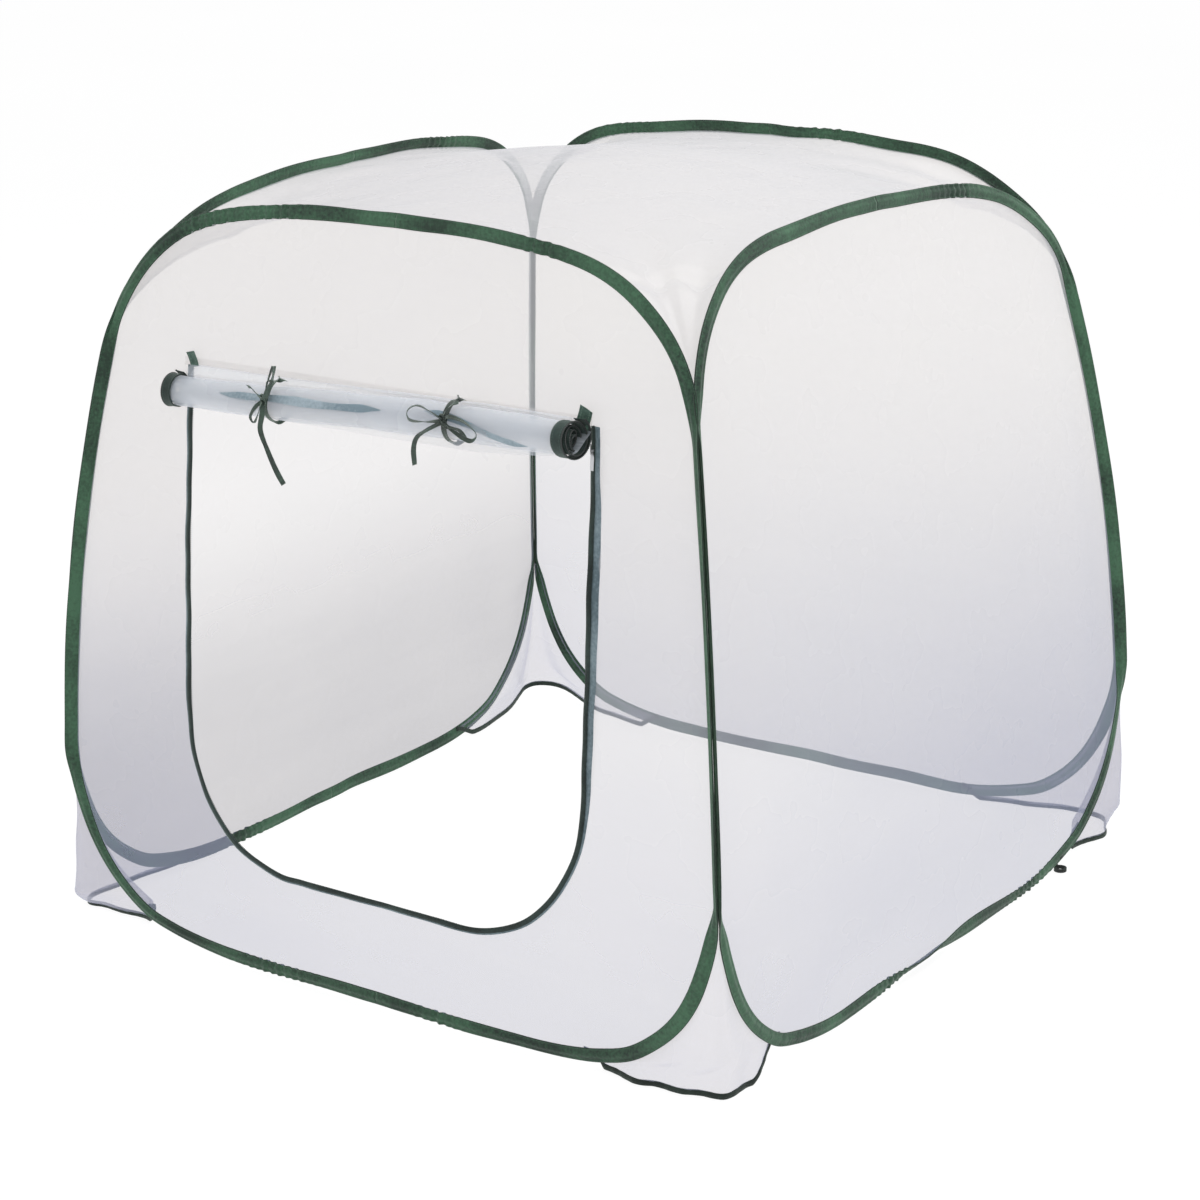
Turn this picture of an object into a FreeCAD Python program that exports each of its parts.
import FreeCAD, Part
import math
import os
import Sketcher

# Free-standing pop-up greenhouse: four closed spring-wire hoops in fabric
# sleeves, film walls and roof, corner skirts, and a rolled-up door with a zip.
# Millimetres. +Z is up and the origin is on the ground under the middle. The
# door is in the front wall (towards -Y); right is +X, left is -X.
#
# Wall parts are drawn in a wall's own frame: X along the wall, Y up its face
# from the ground, Z outward. A vertical section of a wall uses the YZ plane,
# where the sketch's x is the height up the wall and its y is the reach outward.

Vector = FreeCAD.Vector
Rotation = FreeCAD.Rotation
Placement = FreeCAD.Placement
Constraint = Sketcher.Constraint
Z_AXIS = Vector(0, 0, 1)

doc = FreeCAD.newDocument("mini_greenhouse")

# ---------------------------------------------------------------- sizes
CELLS = [
    # walls
    ("base_half", 542.0),      # centre to a wall's mid-plane on the ground
    ("wall_lean", 5.1428),     # each wall leans in by this angle, degrees
    # hoops: a wire ring, its ferrule and its sleeve
    ("hoop_low", 9.0),         # low rail centre, measured up the wall
    ("hoop_high", 995.0),      # high rail centre
    ("seam_inset", 9.8),       # hoop centre line to the corner line
    ("free_seam_gap", 8.0),    # extra room at the corner whose pivot is open
    ("corner_low", 190.0),     # corner radii of the hoop's centre line
    ("corner_high", 190.0),
    ("sleeve_width", 17.0),
    ("sleeve_thick", 8.0),
    ("sleeve_wall", 1.2),
    ("wire_dia", 3.0),
    ("wire_gap", 2.0),         # between the wire's two ends
    ("ferrule_dia", 4.4),
    ("ferrule_bore", 3.1),
    ("ferrule_len", 40.0),
    # film panels, skirts and hems
    ("film_thick", 0.4),
    ("film_inset", 9.1),       # hoop centre line to the film's edge
    ("skirt_gap", 2.5),        # film skirt to the corner line
    ("hem_height", 8.0),
    ("hem_thick", 4.0),
    ("hem_gap", 5.0),          # hem's end to the corner line at the ground
    # door outline, the zip's centre line: sides measured from the wall's middle
    ("door_left", 305.0),
    ("door_right", 327.0),
    ("door_low", 150.0),
    ("door_high", 800.0),
    ("door_corner", 150.0),
    # zip coil and tapes, measured from the door outline
    ("coil_half", 2.0),
    ("coil_thick", 2.0),
    ("tape_near", 3.5),
    ("tape_far", 15.0),
    ("tape_thick", 0.5),
    # level strips of the door's film
    ("strip_pitch", 50.0),
    ("strip_step", 3.4),       # spacing of the wraps in the rolled door
    ("strip_trim", 2.5),       # taken off each strip at its top and bottom
    ("strip_side", 6.0),       # strip's end to the door outline
    ("strip_thick", 0.3),
    # zip slider and the ribbons round the roll
    ("slider_at", 770.0),      # height up the wall
    ("slider_len", 12.0),
    ("tie_left_at", -134.0),   # ribbon positions along the wall
    ("tie_right_at", 146.0),
    ("tie_width", 10.0),
    ("bow_thick", 2.0),
    ("knot_thick", 6.0),
    # roof, an octagon, at its height above the ground
    ("roof_half", 446.0),
    ("roof_cut", 180.0),
    ("roof_level", 991.0),
    # peg loop radii and height, and the zip's pull
    ("loop_outer", 9.0),
    ("loop_eye", 6.5),
    ("loop_height", 5.0),
    ("pull_thick", 1.0),
]
sheet = doc.addObject("Spreadsheet::Sheet", "sizes")
for row, (alias, value) in enumerate(CELLS, 1):
    sheet.set("A%d" % row, alias)
    sheet.set("B%d" % row, "%g" % value)
    sheet.setAlias("B%d" % row, alias)
doc.recompute()


def size(alias):
    return float(getattr(sheet, alias))


# A driven size is a pair: its value now, and the expression that keeps it.
def bound(alias, offset=0.0, sign=1):
    """Driven size: plus or minus a sheet cell, and a fixed offset."""
    text = "%ssizes.%s %s %g" % (
        "-" if sign < 0 else "", alias, "-" if offset < 0 else "+", abs(offset))
    return sign * size(alias) + offset, text


def fixed(value):
    """Driven size with a constant value."""
    return value, "%g" % value


# ---------------------------------------------------------------- frames, sketches
def wall_frame(turn, lean):
    """Placement of a wall, turned round Z and leaning in, both in degrees."""
    spin = Rotation(Z_AXIS, turn)
    tip = Rotation(Vector(1, 0, 0), 90.0 - lean)
    return Placement(spin.multVec(Vector(0, -size("base_half"), 0)), spin.multiply(tip))


def new_body(name, placement=None):
    body = doc.addObject("PartDesign::Body", name)
    body.Label = name
    if placement is not None:
        body.Placement = placement
    return body


def new_sketch(body, label, role="XY_Plane", lift=None):
    """Sketch on one of the body's base planes, lifted off it by an expression."""
    plane = [f for f in body.Origin.OriginFeatures if f.Role == role][0]
    sketch = body.newObject("Sketcher::SketchObject", body.Name + "_" + label)
    sketch.AttachmentSupport = [(plane, "")]
    sketch.MapMode = "FlatFace"
    if lift:
        sketch.setExpression("AttachmentOffset.Base.z", lift)
    return sketch


def drive(sketch, label, driven, kind, *targets):
    """Adds a named dimension that follows a driven size."""
    value, expression = driven
    index = sketch.addConstraint(Constraint(kind, *targets, float(value)))
    sketch.renameConstraint(index, label)
    sketch.setExpression("Constraints." + label, expression)


def blocked(sketch, shapes):
    """Adds shapes and fixes each where it is."""
    first = len(sketch.Geometry)
    sketch.addGeometry(shapes, False)
    for i in range(len(shapes)):
        sketch.addConstraint(Constraint("Block", first + i))


def polygon(sketch, points, x=0.0, y=0.0):
    """Closed outline through points measured from (x, y); returns its first index."""
    corners = [Vector(x + px, y + py, 0) for px, py in points]
    count = len(corners)
    first = len(sketch.Geometry)
    sketch.addGeometry(
        [Part.LineSegment(corners[i], corners[(i + 1) % count]) for i in range(count)], False)
    sketch.addConstraint(
        [Constraint("Coincident", first + i, 2, first + (i + 1) % count, 1)
         for i in range(count)])
    return first


def rectangle(sketch, x0, x1, y0, y1, key="box"):
    """Rectangle whose four sides are driven sizes."""
    first = polygon(
        sketch, [(x0[0], y0[0]), (x1[0], y0[0]), (x1[0], y1[0]), (x0[0], y1[0])])
    sketch.addConstraint([
        Constraint("Horizontal", first), Constraint("Vertical", first + 1),
        Constraint("Horizontal", first + 2), Constraint("Vertical", first + 3)])
    drive(sketch, key + "_x0", x0, "DistanceX", -1, 1, first, 1)
    drive(sketch, key + "_x1", x1, "DistanceX", -1, 1, first, 2)
    drive(sketch, key + "_y0", y0, "DistanceY", -1, 1, first, 1)
    drive(sketch, key + "_y1", y1, "DistanceY", -1, 1, first + 2, 1)


def circle(sketch, key, diameter, x, y=None):
    """Circle of driven diameter and centre; without y it sits on the x axis."""
    centre = Vector(x[0], y[0] if y else 0, 0)
    index = sketch.addGeometry(Part.Circle(centre, Z_AXIS, diameter[0] / 2), False)
    drive(sketch, key + "_dia", diameter, "Diameter", index)
    drive(sketch, key + "_x", x, "DistanceX", -1, 1, index, 3)
    if y:
        drive(sketch, key + "_y", y, "DistanceY", -1, 1, index, 3)
    else:
        sketch.addConstraint(Constraint("PointOnObject", index, 3, -1))


def pad(body, sketch, length, midplane=True):
    feature = body.newObject("PartDesign::Pad", body.Name + "_pad%d" % len(body.Group))
    feature.Profile = sketch
    feature.setExpression("Length", length)
    if midplane:
        feature.Midplane = True
    sketch.Visibility = False


# ---------------------------------------------------------------- hoop line
LEAN_SINE = math.sin(math.radians(size("wall_lean")))
SIDE_LEAN = math.atan(LEAN_SINE)  # lean of a hoop's side in its own plane


def hoop_points(inset, spare=(0.0, 0.0)):
    """Rail heights, corner radii, arc centres and side tangent points of a hoop.

    inset shrinks the outline; spare is extra room at its left and right sides.
    """
    cosine, sine = math.cos(SIDE_LEAN), math.sin(SIDE_LEAN)
    low, high = size("hoop_low") + inset, size("hoop_high") - inset
    low_radius, high_radius = size("corner_low") - inset, size("corner_high") - inset
    points = {"low": low, "high": high, "low_radius": low_radius, "high_radius": high_radius}
    for level, y, radius in (("low", low + low_radius, low_radius),
                             ("high", high - high_radius, high_radius)):
        side_x = size("base_half") - size("seam_inset") - LEAN_SINE * y - inset / cosine
        x = side_x - radius / cosine
        for side, sign, extra in (("left", -1, spare[0]), ("right", 1, spare[1])):
            centre = Vector(sign * (x - extra), y, 0)
            points[level + "_" + side] = centre
            points[level + "_tangent_" + side] = (
                centre + Vector(sign * cosine * radius, sine * radius, 0))
    return points


def corner_arc(centre, radius, start, end):
    return Part.ArcOfCircle(Part.Circle(centre, Z_AXIS, radius), start, end)


def hoop_shapes(hoop, gap):
    """Nine lines and arcs, starting at the middle of the low rail."""
    low, high = hoop["low"], hoop["high"]
    low_left, low_right = hoop["low_left"], hoop["low_right"]
    high_left, high_right = hoop["high_left"], hoop["high_right"]
    quarter = math.pi / 2
    return [
        Part.LineSegment(Vector(gap / 2, low, 0), Vector(low_right.x, low, 0)),
        corner_arc(low_right, hoop["low_radius"], -quarter, SIDE_LEAN),
        Part.LineSegment(hoop["low_tangent_right"], hoop["high_tangent_right"]),
        corner_arc(high_right, hoop["high_radius"], SIDE_LEAN, quarter),
        Part.LineSegment(Vector(high_right.x, high, 0), Vector(high_left.x, high, 0)),
        corner_arc(high_left, hoop["high_radius"], quarter, math.pi - SIDE_LEAN),
        Part.LineSegment(hoop["high_tangent_left"], hoop["low_tangent_left"]),
        corner_arc(low_left, hoop["low_radius"], math.pi - SIDE_LEAN, 3 * quarter),
        Part.LineSegment(Vector(low_left.x, low, 0), Vector(-gap / 2, low, 0)),
    ]


def hoop_sketch(body, label, spare, inset_alias=None, gap=0.0):
    """Hoop outline with its rails and corner radii bound to the sheet."""
    inset = size(inset_alias) if inset_alias else 0.0
    grown = " + sizes." + inset_alias if inset_alias else ""
    shrunk = " - sizes." + inset_alias if inset_alias else ""
    hoop = hoop_points(inset, spare)
    sketch = new_sketch(body, label)
    sketch.addGeometry(hoop_shapes(hoop, gap), False)
    sketch.addConstraint([Constraint("Tangent", i, 2, i + 1, 1) for i in range(8)])
    sketch.addConstraint([Constraint("Horizontal", i) for i in (0, 8, 4)])
    if gap:
        half_gap = (gap / 2, "sizes.wire_gap / 2")
        drive(sketch, "gap_r", half_gap, "DistanceX", -1, 1, 0, 1)
        drive(sketch, "gap_l", half_gap, "DistanceX", 8, 2, -1, 1)
    else:
        sketch.addConstraint(
            [Constraint("Coincident", 8, 2, 0, 1), Constraint("PointOnObject", 0, 1, -2)])
    drive(sketch, "low_rail", (hoop["low"], "sizes.hoop_low" + grown),
          "DistanceY", -1, 1, 0, 1)
    drive(sketch, "high_rail", (hoop["high"], "sizes.hoop_high" + shrunk),
          "DistanceY", -1, 1, 4, 1)
    drive(sketch, "low_radius", (hoop["low_radius"], "sizes.corner_low" + shrunk), "Radius", 1)
    drive(sketch, "high_radius", (hoop["high_radius"], "sizes.corner_high" + shrunk),
          "Radius", 3)
    sketch.addConstraint([Constraint("Equal", 1, 7), Constraint("Equal", 3, 5)])
    return sketch


def sleeve_section(body, label, trim):
    """Ellipse across the low rail, its long axis in the wall's plane."""
    half_width = size("sleeve_width") / 2 - trim
    half_thick = size("sleeve_thick") / 2 - trim
    at = size("hoop_low")
    sketch = new_sketch(body, label, "YZ_Plane")
    blocked(sketch, [Part.Ellipse(
        Vector(at + half_width, 0, 0), Vector(at, half_thick, 0), Vector(at, 0, 0))])
    return sketch


def pipe(body, kind, profile, spine):
    """Sweeps a profile along all nine edges of a hoop sketch."""
    feature = body.newObject("PartDesign::" + kind, body.Name + "_" + kind.lower())
    feature.Profile = profile
    feature.Spine = (spine, ["Edge%d" % (i + 1) for i in range(9)])
    profile.Visibility = False
    spine.Visibility = False


# ---------------------------------------------------------------- door outline
def door_shapes(out, top):
    """Open U of the door, grown outward by out, from top right round to top left."""
    left, right = -size("door_left") - out, size("door_right") + out
    radius = size("door_corner") + out
    low = size("door_low") - out
    arc_left = Vector(left + radius, low + radius, 0)
    arc_right = Vector(right - radius, low + radius, 0)
    quarter = math.pi / 2
    return [
        Part.LineSegment(Vector(right, top, 0), Vector(right, low + radius, 0)),
        corner_arc(arc_right, radius, -quarter, 0),
        Part.LineSegment(Vector(arc_right.x, low, 0), Vector(arc_left.x, low, 0)),
        corner_arc(arc_left, radius, math.pi, 3 * quarter),
        Part.LineSegment(Vector(left, low + radius, 0), Vector(left, top, 0)),
    ]


def level_line(x0, x1, y):
    return Part.LineSegment(Vector(x0, y, 0), Vector(x1, y, 0))


ZIP_END_DROP = 2.0  # zip's two upper ends below the door's top


def door_band(sketch, inner, outer):
    """Closed U-shaped band between two offsets of the door outline."""
    left, right = -size("door_left"), size("door_right")
    top = size("door_high") - ZIP_END_DROP
    shapes = door_shapes(outer, top) + [level_line(left - outer, left - inner, top)]
    shapes += door_shapes(inner, top)[::-1] + [level_line(right + inner, right + outer, top)]
    blocked(sketch, shapes)


# ---------------------------------------------------------------- the walls
OPENING_MARGIN = 3.0      # door outline to the cut edge of the front film
SKIRT_ABOVE_HEM = 0.8     # skirt's lower edge above the hem's height
SKIRT_TOP_ANGLE = -4.0    # where a skirt ends on the low corner's arc, degrees
HEM_PAST_ARC = 62.0       # hem's inner end beyond the low corner's arc centre
HEM_FOOT = 0.0001         # hem's underside, just clear of the ground


def hoop_wire(name, frame, spare):
    """Spring wire ring, open by a small gap that the ferrule bridges."""
    body = new_body("hoop_wire_" + name, frame)
    spine = hoop_sketch(body, "line", spare, gap=size("wire_gap"))
    profile = new_sketch(body, "section", "YZ_Plane", "sizes.wire_gap / 2")
    circle(profile, "wire", bound("wire_dia"), bound("hoop_low"))
    pipe(body, "AdditivePipe", profile, spine)


def wire_ferrule(name, frame):
    """Crimped tube that joins the two wire ends."""
    body = new_body("wire_ferrule_" + name, frame)
    sketch = new_sketch(body, "ring", "YZ_Plane")
    circle(sketch, "outer", bound("ferrule_dia"), bound("hoop_low"))
    circle(sketch, "bore", bound("ferrule_bore"), bound("hoop_low"))
    pad(body, sketch, "sizes.ferrule_len")


def hoop_sleeve(name, frame, spare):
    """Flat woven sleeve round the wire."""
    body = new_body("hoop_sleeve_" + name, frame)
    spine = hoop_sketch(body, "line", spare)
    pipe(body, "AdditivePipe", sleeve_section(body, "outer", 0.0), spine)
    hollow = sleeve_section(body, "inner", size("sleeve_wall"))
    pipe(body, "SubtractivePipe", hollow, hoop_sketch(body, "line2", spare))


def wall_film(name, frame, spare):
    """Film panel inside the hoop; the front one has the door's opening."""
    body = new_body("wall_film_" + name, frame)
    sketch = hoop_sketch(body, "edge", spare, "film_inset")
    if name == "front":
        top = size("door_high")
        header = level_line(-size("door_left") - OPENING_MARGIN,
                            size("door_right") + OPENING_MARGIN, top)
        blocked(sketch, door_shapes(OPENING_MARGIN, top) + [header])
    pad(body, sketch, "sizes.film_thick")


def corner_skirts(name, frame, spare):
    """Film skirts outside the hoop's two low corners."""
    body = new_body("corner_skirts_" + name, frame)
    sketch = new_sketch(body, "edge")
    hoop = hoop_points(-size("film_inset"), spare)
    radius = hoop["low_radius"]
    lowest = size("hem_height") + SKIRT_ABOVE_HEM
    for sign, side, extra in ((1, "right", spare[1]), (-1, "left", spare[0])):
        centre = hoop["low_" + side]
        start = -math.pi / 2 + math.acos((centre.y - lowest) / radius)
        end = math.radians(SKIRT_TOP_ANGLE)
        arc_low, arc_high = [
            centre + Vector(sign * radius * math.cos(angle), radius * math.sin(angle), 0)
            for angle in (start, end)]
        edge_low, edge_high = [
            Vector(sign * (size("base_half") - LEAN_SINE * y - size("skirt_gap") - extra), y, 0)
            for y in (lowest, arc_high.y)]
        if sign < 0:
            start, end = math.pi - end, math.pi - start
        blocked(sketch, [
            corner_arc(centre, radius, start, end),
            Part.LineSegment(arc_high, edge_high),
            Part.LineSegment(edge_high, edge_low),
            Part.LineSegment(edge_low, arc_low)])
    pad(body, sketch, "sizes.film_thick")


def skirt_hem(name, turn, spare):
    """Bound hems that rest on the ground, upright under the wall's two ends."""
    body = new_body("skirt_hem_" + name, wall_frame(turn, 0.0))
    sketch = new_sketch(body, "edge")
    near = hoop_points(0.0)["low_right"].x + HEM_PAST_ARC
    foot, top = fixed(HEM_FOOT), bound("hem_height")
    for key, extra in (("r", spare[1]), ("l", spare[0])):
        far = size("base_half") - size("hem_gap") - extra
        text = "sizes.base_half - sizes.hem_gap - %g" % extra
        if key == "r":
            rectangle(sketch, fixed(near), (far, text), foot, top, key)
        else:
            rectangle(sketch, (-far, "-(" + text + ")"), fixed(-near), foot, top, key)
    pad(body, sketch, "sizes.hem_thick")


# The right and back walls meet at the corner with the open pivot.
FREE = size("free_seam_gap")
WALLS = [
    # name, turn round Z in degrees, spare room at the (left, right) end
    ("front", 0, (0.0, 0.0)),
    ("right", 90, (0.0, FREE)),
    ("back", 180, (FREE, 0.0)),
    ("left", -90, (0.0, 0.0)),
]
for name, turn, spare in WALLS:
    frame = wall_frame(turn, size("wall_lean"))
    hoop_wire(name, frame, spare)
    wire_ferrule(name, frame)
    hoop_sleeve(name, frame, spare)
    wall_film(name, frame, spare)
    corner_skirts(name, frame, spare)
    skirt_hem(name, turn, spare)

# ---------------------------------------------------------------- zip tapes and coil
FRONT = wall_frame(0, size("wall_lean"))
TAPE_LIFT = "sizes.film_thick / 2 + 0.1"
TAB_LIFT = "sizes.film_thick / 2 + sizes.tape_thick + 0.2"
HEADER_OVERHANG = 15.0    # header tape beyond the door's sides
ABOVE_DOOR = 1.0          # header tape's and tabs' lower edge above the door
HEADER_TOP = 12.0         # upper edges above the door
TAB_TOP = 16.0
TAB_INSET = 4.0           # tab's outer end inside the door's side
TAB_WIDTH = 18.0


def zip_bands():
    """U-shaped tape outside the door's edge, and the coil along it."""
    body = new_body("door_zip_tape", FRONT)
    sketch = new_sketch(body, "band", lift=TAPE_LIFT)
    door_band(sketch, size("tape_near"), size("tape_far"))
    pad(body, sketch, "sizes.tape_thick", midplane=False)

    body = new_body("door_zip_coil", FRONT)
    sketch = new_sketch(body, "band")
    door_band(sketch, -size("coil_half"), size("coil_half"))
    pad(body, sketch, "sizes.coil_thick")


def patch(name, label, lift, left, right, top):
    """Flat rectangle of tape just above the door."""
    body = new_body(name, FRONT)
    sketch = new_sketch(body, label, lift=lift)
    rectangle(sketch, left, right, bound("door_high", ABOVE_DOOR), bound("door_high", top))
    pad(body, sketch, "sizes.tape_thick", midplane=False)


zip_bands()
patch("door_header_tape", "band", TAPE_LIFT, bound("door_left", -HEADER_OVERHANG, -1),
      bound("door_right", HEADER_OVERHANG), HEADER_TOP)
patch("zip_end_tab_left", "patch", TAB_LIFT, bound("door_left", TAB_INSET, -1),
      bound("door_left", TAB_INSET + TAB_WIDTH, -1), TAB_TOP)
patch("zip_end_tab_right", "patch", TAB_LIFT, bound("door_right", -TAB_INSET - TAB_WIDTH),
      bound("door_right", -TAB_INSET), TAB_TOP)

# ---------------------------------------------------------------- zip slider and pull
# Level section of the slider's channel: x from the coil's line, z outward.
CHANNEL = [
    (-4.6, -2.6), (4.6, -2.6), (4.6, -0.5), (2.5, -0.5), (2.5, -1.4), (-2.5, -1.4),
    (-2.5, 1.4), (2.5, 1.4), (2.5, 1.1), (4.6, 1.1), (4.6, 2.6), (-4.6, 2.6),
]
# One ear in the same section, x from the ear's left face.
EAR = [(0.0, 2.5), (0.8, 2.5), (0.8, 5.4), (0.0, 5.4)]
EAR_LEFTS = (-2.6, 1.8)   # the ears' left faces from the coil's line
EAR_LEN = 3.0             # up the wall
PIN_REACH = 4.3           # pin's axis outward from the wall's mid-plane
PIN_DIA = 1.0
PIN_LEN = 5.2
BARREL_DIA = 2.6
BARREL_BORE = 1.1
BARREL_LEN = 3.0
# Outline of the hanging blade: x from the coil's line, y from the pin's axis.
BLADE = [
    (-1.5, -0.9), (1.5, -0.9), (1.5, -4), (2.6, -8),
    (2.6, -24), (-2.6, -24), (-2.6, -8), (-1.5, -4),
]


def pin_circle(sketch, key, diameter):
    """Circle round the pin's axis in a vertical section."""
    circle(sketch, key, fixed(diameter), bound("slider_at"), fixed(PIN_REACH))


def zip_slider():
    """C-shaped block round the coil, with two ears and a pin."""
    body = new_body("zip_slider", FRONT)
    sketch = new_sketch(body, "channel", "XZ_Plane", "-sizes.slider_at")
    polygon(sketch, CHANNEL, size("door_right"))
    pad(body, sketch, "sizes.slider_len")
    sketch = new_sketch(body, "ears", "XZ_Plane", "-sizes.slider_at")
    for ear_left in EAR_LEFTS:
        polygon(sketch, EAR, size("door_right") + ear_left)
    pad(body, sketch, "%g" % EAR_LEN)
    sketch = new_sketch(body, "pin", "YZ_Plane", "sizes.door_right")
    pin_circle(sketch, "pin", PIN_DIA)
    pad(body, sketch, "%g" % PIN_LEN)


def zip_pull():
    """Barrel round the slider's pin, with a blade hanging from it."""
    body = new_body("zip_pull_tab", FRONT)
    sketch = new_sketch(body, "barrel", "YZ_Plane", "sizes.door_right")
    pin_circle(sketch, "outer", BARREL_DIA)
    pin_circle(sketch, "bore", BARREL_BORE)
    pad(body, sketch, "%g" % BARREL_LEN)
    sketch = new_sketch(body, "blade", lift="%g - sizes.pull_thick / 2" % PIN_REACH)
    polygon(sketch, BLADE, size("door_right"), size("slider_at"))
    pad(body, sketch, "sizes.pull_thick", midplane=False)


zip_slider()
zip_pull()

# ---------------------------------------------------------------- ribbons round the roll
# Vertical section of the band: height from the door's top, reach outward.
BAND = [
    (12, 1.8), (-0.1, 1.8), (-0.1, 44.8), (-52.8, 44.8), (-52.8, -2.0), (12, -2.0),
    (12, -1.2), (-52.0, -1.2), (-52.0, 44.0), (-0.9, 44.0), (-0.9, 1.0), (12, 1.0),
]
# Outline of the bow's two loops and two tails, x and y from the knot's centre.
BOW = [
    (-5, 4), (-22, 15), (-38, 11), (-38, -3), (-22, -9), (-6, -3),
    (-20, -52), (-10, -54), (0, -8), (8, -40), (17, -38), (6, -3),
    (22, -9), (38, -3), (38, 11), (22, 15), (5, 4),
]
BOW_LIFT = "45.2"         # bow's back face outward from the wall's mid-plane
KNOT_DROP = 26.0          # knot's centre below the door's top
KNOT_HALF = 7.0


def tie(side):
    """A band round the rolled door and a bow in front of it."""
    alias = "tie_%s_at" % side
    body = new_body("tie_band_" + side, FRONT)
    sketch = new_sketch(body, "section", "YZ_Plane", "sizes." + alias)
    polygon(sketch, BAND, size("door_high"))
    pad(body, sketch, "sizes.tie_width")

    body = new_body("tie_bow_" + side, FRONT)
    sketch = new_sketch(body, "loops", lift=BOW_LIFT)
    polygon(sketch, BOW, size(alias), size("door_high") - KNOT_DROP)
    pad(body, sketch, "sizes.bow_thick", midplane=False)
    sketch = new_sketch(body, "knot", lift=BOW_LIFT)
    rectangle(sketch, bound(alias, -KNOT_HALF), bound(alias, KNOT_HALF),
              bound("door_high", -KNOT_DROP - KNOT_HALF),
              bound("door_high", -KNOT_DROP + KNOT_HALF))
    pad(body, sketch, "sizes.knot_thick", midplane=False)


for side in ("left", "right"):
    tie(side)

# ---------------------------------------------------------------- rolled door film
LAST_STRIP_LIFT = 0.5     # lowest strip's extra room above the door's low edge
CURVE_STEPS = 6           # level steps that follow the door's round corners
STRIP_COUNT = int(round((size("door_high") - size("door_low")) / size("strip_pitch")))


def door_strip(number):
    """One level strip of the door's film, rolled up under the header.

    Strip 1 stays at the header; each further strip lies one wrap further out.
    """
    pitch, trim = size("strip_pitch"), size("strip_trim")
    top = size("door_high") - pitch * (number - 1) - trim
    low = max(size("door_high") - pitch * number + trim,
              size("door_low") + size("strip_side") + LAST_STRIP_LIFT)
    radius = size("door_corner") - size("strip_side")
    arc_y = size("door_low") + size("door_corner")
    arc_left = -size("door_left") + size("door_corner")
    arc_right = size("door_right") - size("door_corner")

    shift = Vector(0, pitch * (number - 1), size("strip_step") * (number - 1))
    body = new_body("door_film_%02d" % number, FRONT.multiply(Placement(shift, Rotation())))
    sketch = new_sketch(body, "edge")
    if low >= arc_y:
        rectangle(
            sketch, bound("door_left", size("strip_side"), -1),
            bound("door_right", -size("strip_side")),
            (low, "sizes.door_high - sizes.strip_pitch * %d + sizes.strip_trim" % number),
            (top, "sizes.door_high - sizes.strip_pitch * %d - sizes.strip_trim" % (number - 1)))
    else:
        right, left = [], []
        for i in range(CURVE_STEPS + 1):
            y = low + (top - low) * i / CURVE_STEPS
            below = max(arc_y - y, 0.0)
            reach = math.sqrt(max(radius ** 2 - below ** 2, 0.0))
            right.append((arc_right + reach, y))
            left.append((arc_left - reach, y))
        polygon(sketch, right + left[::-1])
    pad(body, sketch, "sizes.strip_thick")


for number in range(1, STRIP_COUNT + 1):
    door_strip(number)

# ---------------------------------------------------------------- roof and peg loop
LOOP_INSET = 17.0         # eye's centre in from the right wall's foot
LOOP_Y = 345.0
LOOP_LIFT = "0.4"         # underside above the ground


def roof_film():
    """Level octagon of film."""
    body = new_body("roof_film")
    sketch = new_sketch(body, "edge", lift="sizes.roof_level")
    half = size("roof_half")
    short = half - size("roof_cut")
    first = polygon(sketch, [
        (half, -short), (half, short), (short, half), (-short, half),
        (-half, short), (-half, -short), (-short, -half), (short, -half)])
    driven = bound("roof_half")
    drive(sketch, "right", driven, "DistanceX", -1, 1, first, 1)
    drive(sketch, "left", driven, "DistanceX", first + 4, 1, -1, 1)
    drive(sketch, "back", driven, "DistanceY", -1, 1, first + 2, 1)
    drive(sketch, "near", driven, "DistanceY", first + 6, 1, -1, 1)
    pad(body, sketch, "sizes.film_thick")


def peg_loop():
    """Webbing eye for a ground peg, inside the right wall's low rail."""
    body = new_body("peg_loop_right")
    sketch = new_sketch(body, "ring", lift=LOOP_LIFT)
    for key, alias in (("outer", "loop_outer"), ("eye", "loop_eye")):
        circle(sketch, key, (2 * size(alias), "2 * sizes." + alias),
               bound("base_half", -LOOP_INSET), fixed(LOOP_Y))
    pad(body, sketch, "sizes.loop_height", midplane=False)


roof_film()
peg_loop()

# ---------------------------------------------------------------- check and write
doc.recompute()
bodies = [item for item in doc.Objects if item.TypeId == "PartDesign::Body"]
for item in doc.Objects:
    bad = [word for word in item.State if word in ("Invalid", "Error")]
    if bad:
        raise RuntimeError("%s is %s" % (item.Label, bad))
for body in bodies:
    if body.Shape.isNull() or not body.Shape.isValid() or not body.Shape.Solids:
        raise RuntimeError("%s has no valid solid" % body.Label)
os.makedirs("parts", exist_ok=True)
for body in bodies:
    body.Shape.exportStep("parts/%s.step" % body.Label)
